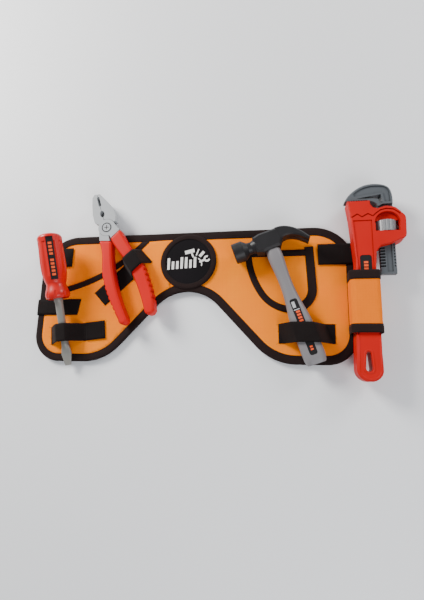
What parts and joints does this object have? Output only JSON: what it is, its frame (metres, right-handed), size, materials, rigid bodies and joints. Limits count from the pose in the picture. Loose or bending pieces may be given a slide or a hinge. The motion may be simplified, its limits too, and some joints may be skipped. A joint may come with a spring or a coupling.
{
  "type": "toy tool belt",
  "caption": "Child's cloth waist tool belt with pockets and webbing loops that hold a toy screwdriver, pliers, claw hammer and adjustable pipe wrench.",
  "frame": {"origin": "on the flat back of the belt, at the middle of its neck, behind the round badge", "axes": "+X along the belt's length, to the pipe wrench's end; +Y to its waist edge; +Z out of its face; the belt lies flat"},
  "size_m": [0.4424, 0.2292, 0.0509],
  "materials": {
    "orange_cloth": "fine ripstop weave, matt",
    "lining_cloth": "plain weave, matt",
    "black_binding": "ribbed tape, matt",
    "black_webbing": "woven webbing, matt",
    "badge_cloth": "printed twill, matt",
    "hook_tape": "hook and loop tape",
    "red_plastic": "moulded, satin gloss",
    "light_grey_plastic": "moulded, satin",
    "grey_plastic": "moulded, satin",
    "dark_grey_plastic": "moulded, satin",
    "black_plastic": "moulded, matt",
    "label": null
  },
  "bodies": {
    "belt": {"back_lining": "lining_cloth", "front_panel": "orange_cloth", "edge_binding": "black_binding", "badge_disc": "badge_cloth", "badge_ring": "black_binding", "left_pocket_panel": "orange_cloth", "left_pocket_binding": "black_binding", "right_pocket_panel": "orange_cloth", "right_pocket_side_binding": "black_binding", "right_pocket_mouth_binding": "black_binding", "left_side_strap": "black_webbing", "waist_strap_left": "black_webbing", "waist_strap_right": "black_webbing", "hook_patch": "hook_tape", "loop_patch": "hook_tape", "screwdriver_loop": "black_webbing", "pliers_loop": "black_webbing", "hammer_loop": "black_webbing", "wrench_sleeve": "orange_cloth", "sleeve_top_binding": "black_binding", "sleeve_bottom_binding": "black_binding"},
    "screwdriver": {"screwdriver_handle": "red_plastic", "screwdriver_label": "label", "screwdriver_shaft": "grey_plastic"},
    "pliers": {"pliers_fixed_lever": "light_grey_plastic", "pliers_right_grip": "red_plastic", "pliers_rivet": "light_grey_plastic"},
    "pliers_arm": {"pliers_moving_lever": "light_grey_plastic", "pliers_left_grip": "red_plastic"},
    "hammer": {"hammer_head": "black_plastic", "hammer_handle": "light_grey_plastic", "hammer_label": "label"},
    "wrench": {"wrench_body": "red_plastic", "wrench_label": "label"},
    "hook": {"hook_jaw": "dark_grey_plastic"},
    "wheel": {"thumb_wheel": "light_grey_plastic"}
  },
  "joints": [
    {"name": "screwdriver_slide", "type": "slide", "parent": "belt", "child": "screwdriver", "axis": [-0.1676, 0.9704, 0.1736], "range_m": [0, 0.075]},
    {"name": "pliers_slide", "type": "slide", "parent": "belt", "child": "pliers", "axis": [-0.3746, 0.9272, 0], "range_m": [0, 0.09]},
    {"name": "pliers_pivot", "type": "hinge", "parent": "pliers", "child": "pliers_arm", "pos_m": [-0.1036, 0.0432, 0.0133], "axis": [0, 0, -1], "range_deg": [0, 18]},
    {"name": "hammer_slide", "type": "slide", "parent": "belt", "child": "hammer", "axis": [-0.337, 0.9411, 0.0262], "range_m": [0, 0.06]},
    {"name": "wrench_slide", "type": "slide", "parent": "belt", "child": "wrench", "axis": [0, 1, 0], "range_m": [0, 0.12]},
    {"name": "wheel_spin", "type": "hinge", "parent": "wrench", "child": "wheel", "pos_m": [0.2267, 0.0282, 0.0158], "axis": [0, 1, 0], "range_deg": [0, 1440]},
    {"name": "hook_slide", "type": "slide", "parent": "wrench", "child": "hook", "axis": [0, 1, 0], "range_m": [0, 0.0241]}
  ],
  "couplings": [
    {"joint": "hook_slide", "follows": "wheel_spin", "m_per_rad": 0.00095493}
  ]
}
